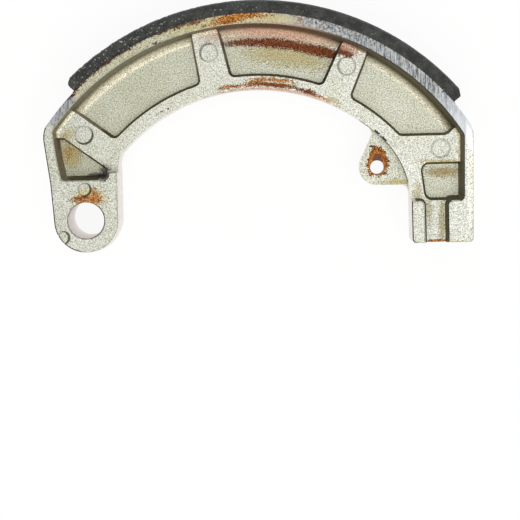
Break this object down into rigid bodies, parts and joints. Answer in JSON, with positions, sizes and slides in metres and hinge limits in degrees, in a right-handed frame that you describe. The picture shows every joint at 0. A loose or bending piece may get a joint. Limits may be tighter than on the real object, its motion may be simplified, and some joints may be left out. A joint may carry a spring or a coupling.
{
  "type": "drum brake shoe",
  "caption": "Die-cast aluminium drum brake shoe with a bonded friction lining, a bored pivot eye, a grooved flat cam end, ribbed web pockets and a drilled lug for the return spring",
  "frame": {"origin": "on the pivot bore's axis, at the middle of the shoe's width", "axes": "+X from the pivot towards the cam end, +Y from the pivot towards the lining, +Z along the pivot bore, up as the shoe lies on its side"},
  "size_m": [0.1201, 0.0693, 0.024],
  "materials": {
    "cast_aluminium": "blasted as-cast, turned bright along the table edge",
    "bond_adhesive": "cured brown resin",
    "friction_material": "ground, matt and slightly speckled"
  },
  "bodies": {
    "root": {"cast_shoe": "cast_aluminium", "bond_film": "bond_adhesive", "friction_lining": "friction_material"}
  },
  "joints": []
}
